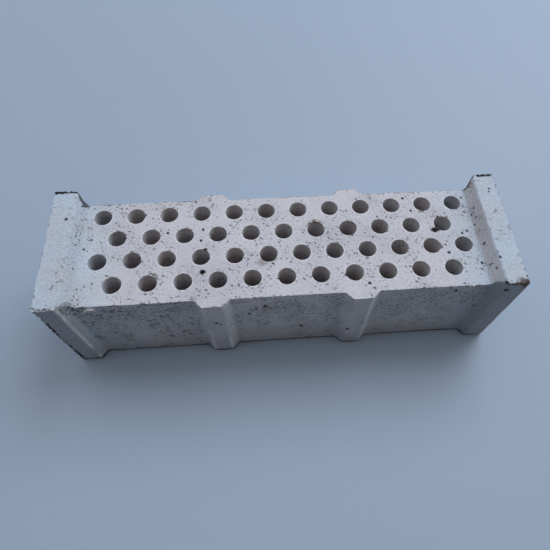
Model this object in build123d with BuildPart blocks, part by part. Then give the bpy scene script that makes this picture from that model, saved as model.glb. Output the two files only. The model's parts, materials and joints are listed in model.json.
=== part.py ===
"""Honeycomb refractory brick: one fired block, pierced from top to bottom by staggered rows of round
holes, with a raised lip and a full-height flange at each end and two ribs down each long side.

Frame, in millimetres: origin on the bed face under the middle of the brick, +X along the brick,
+Y across it, +Z up out of the holes.
"""
import os

from build123d import *

# Overall block, over the lips and across the end flanges
brick_length = 230.0
brick_width = 67.5
brick_height = 65.0

# Body between the flanges, and how far the pierced face lies below the lips
body_width = 59.0
lip_height = 7.2

# End lips: flat top, then a slope down to the pierced face
lip_flat = 11.5
lip_slope_run = 3.8

# End flanges on the long sides: flat face, then a slope back to the body
flange_flat = 10.7
flange_slope_run = 3.1

# Ribs on the long sides, two to a side
rib_spacing = 72.1
rib_flat = 9.9
rib_slope_run = 3.6
rib_stand = 3.8

# Holes, in rows that step half a pitch from one to the next, and the solid left beside the outermost:
# along the brick to the foot of the lip, and across it to the body's far and near sides
hole_diameter = 9.0
long_row_holes = 12
hole_rows = 4
end_land = 3.35
far_land = 4.0
near_land = 6.4

# Moulded radii: in the valleys, over the crests, and the worn arrises
valley_radius = 2.0
lip_foot_radius = 1.2
crest_radius = 0.8
arris_radius = 0.5

# Sizes that follow from those above
half_length = brick_length / 2
half_width = brick_width / 2
half_body = body_width / 2
field_height = brick_height - lip_height
flange_head = half_length - flange_flat
flange_foot = flange_head - flange_slope_run
lip_head = half_length - lip_flat
lip_foot = lip_head - lip_slope_run
rib_middle = rib_spacing / 2
rib_crest = rib_flat / 2
rib_base = rib_crest + rib_slope_run
rib_face = half_body + rib_stand
hole_radius = hole_diameter / 2
hole_pitch = 2 * (lip_foot - end_land - hole_radius) / (long_row_holes - 1)
far_row = half_body - far_land - hole_radius
near_row = half_body - near_land - hole_radius
row_pitch = (far_row + near_row) / (hole_rows - 1)

with BuildPart() as brick:
    # Plan of the block: body, one rib and one flange, mirrored into all four quarters
    with BuildSketch(Plane.XY) as plan:
        Rectangle(brick_length, body_width)
        with BuildLine():
            Polyline(
                (rib_middle - rib_base, half_body),
                (rib_middle - rib_crest, rib_face),
                (rib_middle + rib_crest, rib_face),
                (rib_middle + rib_base, half_body),
                close=True,
            )
        make_face()
        with BuildLine():
            Polyline(
                (flange_foot, half_body),
                (flange_head, half_width),
                (half_length, half_width),
                (half_length, half_body),
                close=True,
            )
        make_face()
        mirror(about=Plane.XZ)
        mirror(about=Plane.YZ)
        valleys = plan.vertices().filter_by_position(Axis.Y, -half_body, half_body)
        inner = plan.vertices().filter_by_position(Axis.X, -flange_head, flange_head)
        crests = inner - valleys
        fillet(valleys, radius=valley_radius)
        fillet(crests, radius=crest_radius)
    extrude(amount=brick_height)

    # Side view of the block: the pierced face sunk between the two lips
    with BuildSketch(Plane.XZ) as elevation:
        Rectangle(brick_length, field_height, align=(Align.CENTER, Align.MIN))
        with BuildLine():
            Polyline(
                (lip_foot, field_height),
                (lip_head, brick_height),
                (half_length, brick_height),
                (half_length, field_height),
                close=True,
            )
        make_face()
        mirror(about=Plane.YZ)
        feet = elevation.vertices().filter_by_position(Axis.Y, field_height, field_height)
        heads = elevation.vertices().group_by(Axis.Y)[-1].filter_by_position(Axis.X, -lip_head, lip_head)
        fillet(feet, radius=lip_foot_radius)
        fillet(heads, radius=crest_radius)
    extrude(amount=brick_width, both=True, mode=Mode.INTERSECT)

    # Worn arrises round the bed, the ends and the skyline of the long sides
    ends = brick.faces().filter_by(Axis.X).sort_by(Axis.X)
    bed = brick.edges().group_by(Axis.Z)[0]
    skyline = brick.edges().filter_by_position(Axis.Z, field_height, brick_height)
    far_skyline = skyline.filter_by_position(Axis.Y, half_body, half_width)
    near_skyline = skyline.filter_by_position(Axis.Y, -half_width, -half_body)
    arrises = ends[0].edges() + ends[-1].edges() + bed + far_skyline + near_skyline
    fillet(arrises, radius=arris_radius)

    # Rows of holes right through, long rows and short rows in turn from the far side
    for row in range(hole_rows):
        with Locations((0, far_row - row * row_pitch, field_height)):
            with GridLocations(hole_pitch, row_pitch, long_row_holes - row % 2, 1):
                Hole(radius=hole_radius)

brick.part.label = "honeycomb_brick"
os.makedirs("parts", exist_ok=True)
export_step(brick.part, "parts/honeycomb_brick.step")
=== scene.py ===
"""Honeycomb refractory brick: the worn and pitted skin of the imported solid, with floor, light and camera.

Lengths are in millimetres until a mesh is made, in the frame of the solid: the origin lies under the middle
of the brick, +X runs along it, +Y across it away from the camera, and +Z up out of the holes.
"""
import json
import math

import bpy
import numpy as np
from mathutils import Matrix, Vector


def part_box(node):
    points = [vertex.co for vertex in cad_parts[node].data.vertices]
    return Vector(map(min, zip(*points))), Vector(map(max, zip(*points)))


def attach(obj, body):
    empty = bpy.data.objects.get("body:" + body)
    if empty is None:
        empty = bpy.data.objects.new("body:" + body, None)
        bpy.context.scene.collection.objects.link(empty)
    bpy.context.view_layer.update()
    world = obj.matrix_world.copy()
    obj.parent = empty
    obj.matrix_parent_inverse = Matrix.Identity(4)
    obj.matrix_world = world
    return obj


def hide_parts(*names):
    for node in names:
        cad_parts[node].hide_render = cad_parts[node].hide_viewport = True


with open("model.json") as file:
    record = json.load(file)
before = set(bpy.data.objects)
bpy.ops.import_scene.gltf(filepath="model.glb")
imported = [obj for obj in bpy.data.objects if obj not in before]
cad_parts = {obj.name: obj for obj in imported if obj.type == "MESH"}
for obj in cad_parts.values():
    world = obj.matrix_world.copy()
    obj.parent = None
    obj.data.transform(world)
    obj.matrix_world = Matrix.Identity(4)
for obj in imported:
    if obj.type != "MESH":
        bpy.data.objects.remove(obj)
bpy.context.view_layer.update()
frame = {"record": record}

MM = 0.001
NODE = "honeycomb_brick"
SLOT = "fired_ceramic"

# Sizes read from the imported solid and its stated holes
_, high_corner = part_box(NODE)
HALF_LENGTH, HALF_WIDTH, HEIGHT = np.array(high_corner) / MM
stated_holes = [mount for mount in frame["record"]["mounts"] if mount["kind"] == "bore"]
HOLE_RADIUS = stated_holes[0]["dims"]["r_mm"]
FIELD = stated_holes[0]["dims"]["length_mm"]
LONG_ROW_HOLES = len(stated_holes)
PITCH = (stated_holes[1]["pos_m"][0] - stated_holes[0]["pos_m"][0]) / MM
STATED_ROW_Y = stated_holes[0]["pos_m"][1] / MM

# Sizes of the section, as the solid has them
HALF_BODY = 29.5
LIP_FLAT = 11.5
LIP_SLOPE_RUN = 3.8
FLANGE_FLAT = 10.7
FLANGE_SLOPE_RUN = 3.1
RIB_MIDDLE = 36.05
RIB_CREST = 4.95
RIB_SLOPE_RUN = 3.6
RIB_STAND = 3.8
LIP_HEAD = HALF_LENGTH - LIP_FLAT
LIP_FOOT = LIP_HEAD - LIP_SLOPE_RUN
FLANGE_HEAD = HALF_LENGTH - FLANGE_FLAT
FLANGE_FOOT = FLANGE_HEAD - FLANGE_SLOPE_RUN
RIB_BASE = RIB_CREST + RIB_SLOPE_RUN
RIB_CORNERS = tuple(RIB_MIDDLE + step for step in (-RIB_BASE, -RIB_CREST, RIB_CREST, RIB_BASE))
RIB_FACE = HALF_BODY + RIB_STAND
ROW_PITCH = 13.2
ROWS = 4
FIELD_MIDDLE = STATED_ROW_Y + ROW_PITCH / 2

# The photograph's camera: focal length and centre in pixels of its frame, place and turn about the brick
PHOTO_SIDE = 550
FOCAL = 471.6
PHOTO_CENTRE = (300.0, 275.0)
CAMERA_PLACE = np.array((-9.5, -128.3, 259.0))
CAMERA_AZIMUTH = math.radians(8.21)
CAMERA_PITCH = math.radians(61.14)
CAMERA_ROLL = math.radians(4.13)

# Steps in which the camera's ray settles on the top
SIGHT_STEPS = 20

# Surfaces that a vertex can lie on, as bits
TOP, BED, NEAR, FAR, ENDS, WALL = 1, 2, 4, 8, 16, 32


def camera_axes():
    """Right, up and forward of the camera: level axes turned by the azimuth, tipped down by the pitch, and
    then turned about the line of sight by the roll."""
    level = np.array((math.cos(CAMERA_AZIMUTH), -math.sin(CAMERA_AZIMUTH), 0.0))
    ahead = np.array((math.sin(CAMERA_AZIMUTH), math.cos(CAMERA_AZIMUTH), 0.0))
    forward = math.cos(CAMERA_PITCH) * ahead - math.sin(CAMERA_PITCH) * np.array((0.0, 0.0, 1.0))
    upright = np.cross(level, forward)
    right = math.cos(CAMERA_ROLL) * level + math.sin(CAMERA_ROLL) * upright
    up = math.cos(CAMERA_ROLL) * upright - math.sin(CAMERA_ROLL) * level
    return right, up, forward


def seen_on(pixel, axis, level):
    """Point where the camera's ray through a pixel of the photograph meets the plane axis = level."""
    right, up, forward = camera_axes()
    across = (pixel[0] - PHOTO_CENTRE[0]) / FOCAL
    down = (pixel[1] - PHOTO_CENTRE[1]) / FOCAL
    ray = forward + across * right - down * up
    return CAMERA_PLACE + ray * (level - CAMERA_PLACE[axis]) / ray[axis]


def seen_on_top(pixel):
    """Point of the top that the camera sees at a pixel: its ray is met with the top's level at the last
    guess, and the level goes halfway to the top there each time, until it settles."""
    level = FIELD
    for _ in range(SIGHT_STEPS):
        level += (top(seen_on(pixel, 2, level)[0]) - level) / 2
    return seen_on(pixel, 2, level)


def mark_place(pixel, plane):
    """Place of a mark that the photograph shows at a pixel, on the top or on an upright plane."""
    return seen_on_top(pixel) if plane is ON_TOP else seen_on(pixel, *plane)


# Lines of the section: where their fine steps start and end, how many there are, and half the run of a
# rounding on each
LINE_START = -1.0
LINE_END = 1.2 * HALF_LENGTH
LINE_STEPS = 6000
SIDE_REACH = 0.7
TOP_REACH = 0.5


def rounded(x, knots, heights, reach):
    """Height at x of the line through the knots, averaged from x - reach to x + reach, which turns each
    corner into a short parabola."""
    fine = np.linspace(LINE_START, LINE_END, LINE_STEPS + 1)
    line = np.interp(fine, knots, heights)
    area = np.concatenate(((0.0,), np.cumsum((line[1:] + line[:-1]) / 2 * np.diff(fine))))
    x = np.abs(x)
    return (np.interp(x + reach, fine, area) - np.interp(x - reach, fine, area)) / (2 * reach)


def side(x):
    """Half width of the brick at x: the body, the two ribs and the end flanges in one line."""
    knots = (0.0, *RIB_CORNERS, FLANGE_FOOT, FLANGE_HEAD, HALF_LENGTH)
    widths = (HALF_BODY, HALF_BODY, RIB_FACE, RIB_FACE, HALF_BODY, HALF_BODY, HALF_WIDTH, HALF_WIDTH)
    return rounded(x, knots, widths, SIDE_REACH)


def top(x):
    """Height of the brick at x: the pierced field, the slope and the lip in one line."""
    return rounded(x, (0.0, LIP_FOOT, LIP_HEAD, HALF_LENGTH), (FIELD, FIELD, HEIGHT, HEIGHT), TOP_REACH)


def hole_centres():
    """Centres of all the holes, row by row from the far side, each row half a pitch from the next."""
    rows = []
    for row in range(ROWS):
        count = LONG_ROW_HOLES - row % 2
        x = (np.arange(count) - (count - 1) / 2) * PITCH
        y = np.full(count, FIELD_MIDDLE + ((ROWS - 1) / 2 - row) * ROW_PITCH)
        rows.append(np.stack((x, y), axis=1))
    return rows


HOLE_ROWS = hole_centres()
HOLES = np.concatenate(HOLE_ROWS)

# Coarse skin, before it is refined: steps of its grids, shares of its rings, and its margin at the lips' feet
CELL_COLUMNS = 12
CELL_ROWS = 8
MARGIN_ROWS = 3
SLOPE_COLUMNS = 8
LIP_COLUMNS = 6
SIDE_ROWS = 16
TOP_RINGS = np.array((0.0, 0.45, 0.8, 0.94, 1.0))
BED_RINGS = np.array((0.0, 1.0))
WALL_SHARES = np.array((0.0, 0.006, 0.03, 0.07, 0.15, 0.32, 0.62, 1.0))
FOOT_MARGIN = 1.1
FIELD_END = LIP_FOOT - FOOT_MARGIN


def column_places():
    """Places of the grid's columns along X: even over the hole cells, then closer over the slope and lip.
    Also the same places with the nearest column moved onto each corner of the ribs."""
    reach = (LONG_ROW_HOLES - 1) / 2 * PITCH
    cells = np.linspace(-reach, reach, CELL_COLUMNS * (LONG_ROW_HOLES - 1) + 1)
    rim = np.linspace(reach, FIELD_END, CELL_COLUMNS // 2 + 1)[1:]
    slope = np.linspace(FIELD_END, FLANGE_HEAD, SLOPE_COLUMNS + 1)[1:]
    lip = np.linspace(FLANGE_HEAD, HALF_LENGTH, LIP_COLUMNS + 1)[1:]
    end = np.concatenate((rim, slope, lip))
    even = np.concatenate((-end[::-1], cells, end))
    snapped = even.copy()
    for corner in RIB_CORNERS:
        for place in (-corner, corner):
            snapped[np.argmin(np.abs(even - place))] = place
    return even, snapped


def face_grid():
    """Grid of the top or bed in plan: x and y by column and row. Rows are even over the hole cells, and in
    the margins they spread from the last cell out to the side of the brick, where columns sit on its
    corners."""
    even, snapped = column_places()
    reach = ROWS / 2 * ROW_PITCH
    cells = FIELD_MIDDLE + np.linspace(-reach, reach, CELL_ROWS * ROWS + 1)
    out = np.linspace(0.0, 1.0, MARGIN_ROWS + 1)[1:]
    edge = side(snapped)
    near = cells[0] + out[::-1] * (-edge[:, None] - cells[0])
    far = cells[-1] + out * (edge[:, None] - cells[-1])
    y = np.concatenate((near, np.broadcast_to(cells, (len(even), len(cells))), far), axis=1)
    share = np.concatenate((out[::-1], np.zeros(len(cells)), out))
    x = even[:, None] + share * (snapped - even)[:, None]
    return x, y


def quad_corners(index):
    """Corner indices of the quads of a grid of vertex indices."""
    return np.stack((index[:-1, :-1], index[1:, :-1], index[1:, 1:], index[:-1, 1:]), axis=-1)


def hole_blocks(columns):
    """First column and first row of each hole's block of cells in the face grid."""
    middle = columns // 2
    half_pitch = CELL_COLUMNS // 2
    starts = []
    for row, places in enumerate(HOLE_ROWS):
        step = np.rint(places[:, 0] / PITCH * CELL_COLUMNS).astype(int)
        first_row = MARGIN_ROWS + (ROWS - 1 - row) * CELL_ROWS
        starts.append(np.stack((middle + step - half_pitch, np.full(len(places), first_row)), axis=1))
    return np.concatenate(starts)


def block_rim():
    """Column and row steps once round the rim of a hole's block, anticlockwise from its first corner."""
    across = np.arange(CELL_COLUMNS)
    along = np.arange(CELL_ROWS)
    last_column, last_row = np.full(CELL_ROWS, CELL_COLUMNS), np.full(CELL_COLUMNS, CELL_ROWS)
    column = np.concatenate((across, last_column, CELL_COLUMNS - across, np.zeros(CELL_ROWS)))
    row = np.concatenate((np.zeros(CELL_COLUMNS), along, last_row, CELL_ROWS - along))
    return column.astype(int), row.astype(int)


# Points that fall together within a thousandth of a millimetre are one
WELDS_PER_MM = 1000


class Skin:
    """Vertices, the surfaces that each lies on, and quads, gathered patch by patch and then welded."""

    def __init__(self):
        self.points, self.surfaces, self.quads, self.count = [], [], [], 0

    def add(self, points, surfaces, quads_of):
        """Adds a block of points of any shape; quads_of turns its block of indices into quads."""
        index = self.count + np.arange(points[..., 0].size).reshape(points.shape[:-1])
        self.points.append(points.reshape(-1, 3))
        self.surfaces.append(np.broadcast_to(surfaces, index.shape).reshape(-1))
        self.quads.append(quads_of(index).reshape(-1, 4))
        self.count += index.size

    def welded(self):
        """One closed set of triangles: points that fall together become one, which lies on all their
        surfaces."""
        points = np.concatenate(self.points)
        surfaces = np.concatenate(self.surfaces)
        quads = np.concatenate(self.quads)
        key = np.rint(points * WELDS_PER_MM).astype(np.int64)
        _, first, back = np.unique(key, axis=0, return_index=True, return_inverse=True)
        joined = np.zeros(len(first), dtype=np.int64)
        np.bitwise_or.at(joined, back.reshape(-1), surfaces)
        quads = back.reshape(-1)[quads]
        triangles = np.concatenate((quads[:, [0, 1, 2]], quads[:, [0, 2, 3]]))
        return points[first], joined, triangles


def add_face(skin, x, y, z, surface, shares, upward):
    """The top or bed: the plan grid lifted to z, less the hole blocks, each of which is filled by rings at
    those shares of the way from the rim of the block to the hole, every point going straight towards its
    axis. Returns the mouths of the holes."""
    starts = hole_blocks(len(x))
    open_cells = np.ones((len(x) - 1, y.shape[1] - 1), dtype=bool)
    for column, row in starts:
        open_cells[column:column + CELL_COLUMNS, row:row + CELL_ROWS] = False
    turn = slice(None) if upward else slice(None, None, -1)
    skin.add(np.stack((x, y, z), axis=-1), surface, lambda index: quad_corners(index)[open_cells][:, turn])

    column, row = block_rim()
    columns, rows = starts[:, :1] + column, starts[:, 1:] + row
    rim = np.stack((x[columns, rows], y[columns, rows]), axis=-1)
    aim = rim - HOLES[:, None]
    mouth = HOLES[:, None] + HOLE_RADIUS * aim / np.linalg.norm(aim, axis=-1, keepdims=True)
    rings = rim[:, None] + shares[:, None, None] * (mouth - rim)[:, None]
    height = np.broadcast_to(z[columns, rows][:, None, :, None], rings.shape[:-1] + (1,))
    add_tubes(skin, np.concatenate((rings, height), axis=-1), surface, upward)
    return mouth


def add_tubes(skin, rings, surface, outward):
    """A stack of closed rings for each hole, given by hole, ring and place round the ring."""
    turn = slice(None) if outward else slice(None, None, -1)

    def quads_of(index):
        index = np.concatenate((index, index[:, :, :1]), axis=2)
        corners = (index[:, :-1, :-1], index[:, :-1, 1:], index[:, 1:, 1:], index[:, 1:, :-1])
        return np.stack(corners, axis=-1).reshape(-1, 4)[:, turn]

    skin.add(rings, surface, quads_of)


def coarse_skin():
    """The brick's whole surface as welded triangles: top and bed pierced by the holes, the wall of every
    hole, and the long sides and ends as the plan's outline carried up to the top line."""
    skin = Skin()
    x, y = face_grid()
    mouth = add_face(skin, x, y, top(x), TOP, TOP_RINGS, True)
    add_face(skin, x, y, np.zeros_like(x), BED, BED_RINGS, False)

    depth = FIELD * (1 - WALL_SHARES)
    rings = np.broadcast_to(mouth[:, None], (len(HOLES), len(depth)) + mouth.shape[1:])
    height = np.broadcast_to(depth[None, :, None, None], rings.shape[:-1] + (1,))
    add_tubes(skin, np.concatenate((rings, height), axis=-1), WALL, True)

    rise = np.linspace(0.0, 1.0, SIDE_ROWS + 1)
    outline = (
        (x[:, 0], y[:, 0], NEAR, 1),
        (x[:, -1], y[:, -1], FAR, -1),
        (x[0], y[0], ENDS, -1),
        (x[-1], y[-1], ENDS, 1),
    )
    for edge_x, edge_y, surface, turn in outline:
        wall = np.broadcast_arrays(edge_x[:, None], edge_y[:, None], top(edge_x)[:, None] * rise)
        skin.add(np.stack(wall, axis=-1), surface, lambda index: quad_corners(index)[..., ::turn])
    return skin.welded()


def split_long_edges(points, surfaces, triangles, wanted):
    """One pass of refining: each edge longer than wanted at its middle gets a vertex there, and each
    triangle is cut into two, three or four by those of its edges that were split."""
    pairs = np.sort(triangles[:, [[0, 1], [1, 2], [2, 0]]], axis=-1).reshape(-1, 2)
    codes = pairs[:, 0] * len(points) + pairs[:, 1]
    _, first, back = np.unique(codes, return_index=True, return_inverse=True)
    ends = pairs[first]
    middle = points[ends].mean(axis=1)
    split = np.linalg.norm(points[ends[:, 0]] - points[ends[:, 1]], axis=1) > wanted(middle)
    fresh = np.full(len(first), -1)
    fresh[split] = len(points) + np.arange(split.sum())
    points = np.concatenate((points, middle[split]))
    surfaces = np.concatenate((surfaces, surfaces[ends[split, 0]] & surfaces[ends[split, 1]]))

    cut = fresh[back.reshape(-1, 3)]
    count = (cut >= 0).sum(axis=1)
    lead = np.where(count == 1, np.argmax(cut >= 0, axis=1), 0)
    lead = np.where(count == 2, (np.argmin(cut >= 0, axis=1) + 1) % 3, lead)
    order = (lead[:, None] + np.arange(3)) % 3
    a, b, c = np.take_along_axis(triangles, order, axis=1).T
    ab, bc, ca = np.take_along_axis(cut, order, axis=1).T
    whole, one, two, three = (count == number for number in range(4))
    pieces = (
        (whole, (a, b, c)),
        (one, (a, ab, c)), (one, (ab, b, c)),
        (two, (ab, b, bc)), (two, (a, ab, bc)), (two, (a, bc, c)),
        (three, (a, ab, ca)), (three, (ab, b, bc)), (three, (ca, bc, c)), (three, (ab, bc, ca)),
    )
    triangles = np.concatenate([np.stack(corners, axis=1)[chosen] for chosen, corners in pieces])
    return points, surfaces, triangles, int(split.sum())


def lies_on(surfaces, chosen):
    """Whether each vertex lies on any of the chosen surfaces."""
    return (surfaces & chosen) > 0


def set_on_surfaces(points, surfaces):
    """Moves each refined vertex from the chord that it was made on to the true surfaces that it lies on."""
    wall = np.flatnonzero(lies_on(surfaces, WALL))
    nearest = nearest_hole(points[wall])
    aim = points[wall, :2] - nearest
    points[wall, :2] = nearest + HOLE_RADIUS * aim / np.linalg.norm(aim, axis=1, keepdims=True)
    points[:, 1] = np.where(lies_on(surfaces, NEAR), -side(points[:, 0]), points[:, 1])
    points[:, 1] = np.where(lies_on(surfaces, FAR), side(points[:, 0]), points[:, 1])
    points[:, 2] = np.where(lies_on(surfaces, TOP), top(points[:, 0]), points[:, 2])


def nearest_hole(points):
    """Place of the hole axis nearest to each point: the nearest in each row by rounding, then the nearest
    row."""
    best = np.full(len(points), np.inf)
    place = np.zeros((len(points), 2))
    for row in HOLE_ROWS:
        step = np.clip(np.rint((points[:, 0] - row[0, 0]) / PITCH), 0, len(row) - 1)
        x = row[0, 0] + step * PITCH
        gap = np.hypot(points[:, 0] - x, points[:, 1] - row[0, 1])
        closer = gap < best
        best[closer] = gap[closer]
        place[closer] = np.stack((x[closer], np.full(closer.sum(), row[0, 1])), axis=1)
    return place


def close_by(points, centre, reach):
    """Indices of the points inside a cube about a centre."""
    near = np.flatnonzero(np.abs(points[:, 0] - centre[0]) < reach)
    return near[np.abs(points[near, 1:] - centre[1:]).max(axis=1, initial=0) < reach]


# Scrambling of a lattice corner into a random value: steps along the axes and of the seed, then shifts
# and factors
LATTICE_STEPS = np.array((73856093, 19349663, 83492791))
SEED_STEP = 374761393
SCRAMBLES = ((15, 0x2C1B3C6D), (12, 0x297A2D39))
LAST_SHIFT = 15
WORD = 0xFFFFFFFF


def noise(points, size, seed):
    """Smooth noise from -1 to 1: a random value at each corner of a cubic lattice of that size, blended
    between corners by a smooth step along each axis."""
    place = points / size
    cell = np.floor(place).astype(np.int64)
    part = place - cell
    part = part * part * (3 - 2 * part)
    total = np.zeros(len(points))
    for corner in np.ndindex(2, 2, 2):
        word = ((cell + corner) @ LATTICE_STEPS + seed * SEED_STEP) & WORD
        for shift, factor in SCRAMBLES:
            word = ((word ^ (word >> shift)) * factor) & WORD
        value = (word ^ (word >> LAST_SHIFT)) / (WORD >> 1) - 1
        weight = np.prod(np.where(corner, part, 1 - part), axis=1)
        total += weight * value
    return total


# Edge wear: mean radius of the worn arris, and how much it varies along the edge
SKYLINE_WEAR = (0.55, 0.6)
END_WEAR = (0.7, 0.6)
CORNER_WEAR = (0.8, 0.5)
FOOT_WEAR = (1.0, 0.4)
RIM_WEAR = (0.42, 0.5)
RIM_SEED = 12

# Arrises in the order that they are worn: the two faces that meet, the wear and the seed of its noise
ARRISES = (
    ("side", "top", SKYLINE_WEAR, 3),
    ("end", "top", END_WEAR, 5),
    ("end", "side", CORNER_WEAR, 7),
    ("side", "bed", FOOT_WEAR, 9),
    ("end", "bed", FOOT_WEAR, 10),
)

# Noise along a worn edge, coarse and fine, as gain and size, and the least share of the radius that it leaves
WEAR_NOISE = ((1.2, 9.0), (1.0, 2.2))
LEAST_WEAR = 0.25

# Where the photograph's marks lie: on the top, or on an upright plane given as axis and level
ON_TOP = None
ON_BODY = (1, -HALF_BODY)
ON_RIB = (1, -RIB_FACE)
ON_FLANGE = (1, -HALF_WIDTH)
ON_FLANGE_SLOPE = (1, -(HALF_BODY + HALF_WIDTH) / 2)

# Chips out of edges: pixel, plane, way out of the brick, radius, soot, rust
CHIPS = (
    ((56, 192.5), ON_TOP, (0, 1, 1), 1.6, 0.9, 0.3),
    ((62, 192.0), ON_TOP, (0, 1, 1), 1.3, 0.9, 0.2),
    ((68, 191.0), ON_TOP, (0, 1, 1), 1.6, 0.95, 0.3),
    ((75, 190.5), ON_TOP, (0, 1, 1), 1.8, 0.9, 0.2),
    ((480, 174.5), ON_TOP, (0, 1, 1), 0.8, 0.9, 0.3),
    ((486, 174.0), ON_TOP, (0, 1, 1), 0.8, 0.8, 0.2),
    ((491, 173.8), ON_TOP, (0, 1, 1), 1.0, 0.95, 0.3),
    ((494, 173.5), ON_TOP, (0.5, 1, 1), 1.2, 0.95, 0.3),
    ((506, 283.8), ON_TOP, (0, -1, 1), 0.8, 0.8, 0.1),
    ((510, 284.3), ON_TOP, (0, -1, 1), 0.9, 0.85, 0.2),
    ((514, 284.6), ON_TOP, (0, -1, 1), 1.0, 0.8, 0.3),
    ((518, 284.8), ON_TOP, (0, -1, 1), 1.2, 0.5, 0.7),
    ((523, 284.6), ON_TOP, (0, -1, 1), 2.0, 0.3, 0.9),
    ((527, 284.4), ON_TOP, (0.3, -1, 1), 1.7, 0.45, 0.9),
    ((529, 283.0), ON_TOP, (1, -1, 1), 1.4, 0.6, 1.0),
    ((528, 276.0), ON_TOP, (1, 0, 1), 0.8, 0.4, 0.8),
    ((526, 269.0), ON_TOP, (1, 0, 1), 0.8, 0.6, 0.4),
    ((511, 227.0), ON_TOP, (1, 0, 1), 1.9, 0.4, 0.2),
    ((505, 205.0), ON_TOP, (1, 0, 1), 1.2, 0.3, 0.1),
    ((518, 255.0), ON_TOP, (1, 0, 1), 0.9, 0.1, 0.0),
    ((434.6, 229.9), ON_TOP, (0, 0, 1), 1.2, 1.0, 0.6),
    ((32.0, 309.5), ON_TOP, (-0.5, -1, 1), 1.2, 0.1, 0.0),
    ((37.5, 310.6), ON_TOP, (0, -1, 1), 1.1, 0.25, 0.0),
    ((43.0, 310.8), ON_TOP, (0, -1, 1), 1.4, 0.2, 0.0),
    ((48.5, 310.6), ON_TOP, (0, -1, 1), 0.9, 0.3, 0.0),
)

# Chips out of the rims: row from the far side, hole in the row, bearing round the rim, radius, soot, rust
RIM_CHIPS = (
    (3, 1, 25, 1.3, 0.2, 0.0),
    (3, 1, 48, 1.7, 0.25, 0.1),
    (3, 1, 75, 1.3, 0.2, 0.0),
    (0, 1, 5, 0.9, 0.5, 0.1),
    (2, 1, 95, 1.0, 0.4, 0.1),
    (2, 3, 62, 0.85, 1.0, 0.0),
    (1, 10, 222, 1.4, 1.0, 0.6),
    (1, 10, 112, 0.8, 0.7, 0.2),
    (1, 10, 50, 0.9, 0.1, 0.4),
    (0, 10, 262, 0.9, 0.5, 0.1),
    (2, 10, 345, 1.0, 0.6, 0.1),
    (3, 7, 195, 0.8, 0.8, 0.0),
    (1, 8, 320, 0.8, 0.5, 0.1),
)

# Broken ends of the slopes up to the lips, each with a dark facet of painted shade and soot: side in X, side
# in Y, chip radius, width of the dark facet, soot and painted shade, rust
SLOPE_ENDS = (
    (-1, 1, 0.6, 4.0, 0.8, 0.0),
    (1, 1, 1.0, 2.2, 0.55, 0.4),
    (-1, -1, 0.8, 2.4, 0.35, 0.0),
)
SLOPE_END_CHIPS = 6
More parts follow.
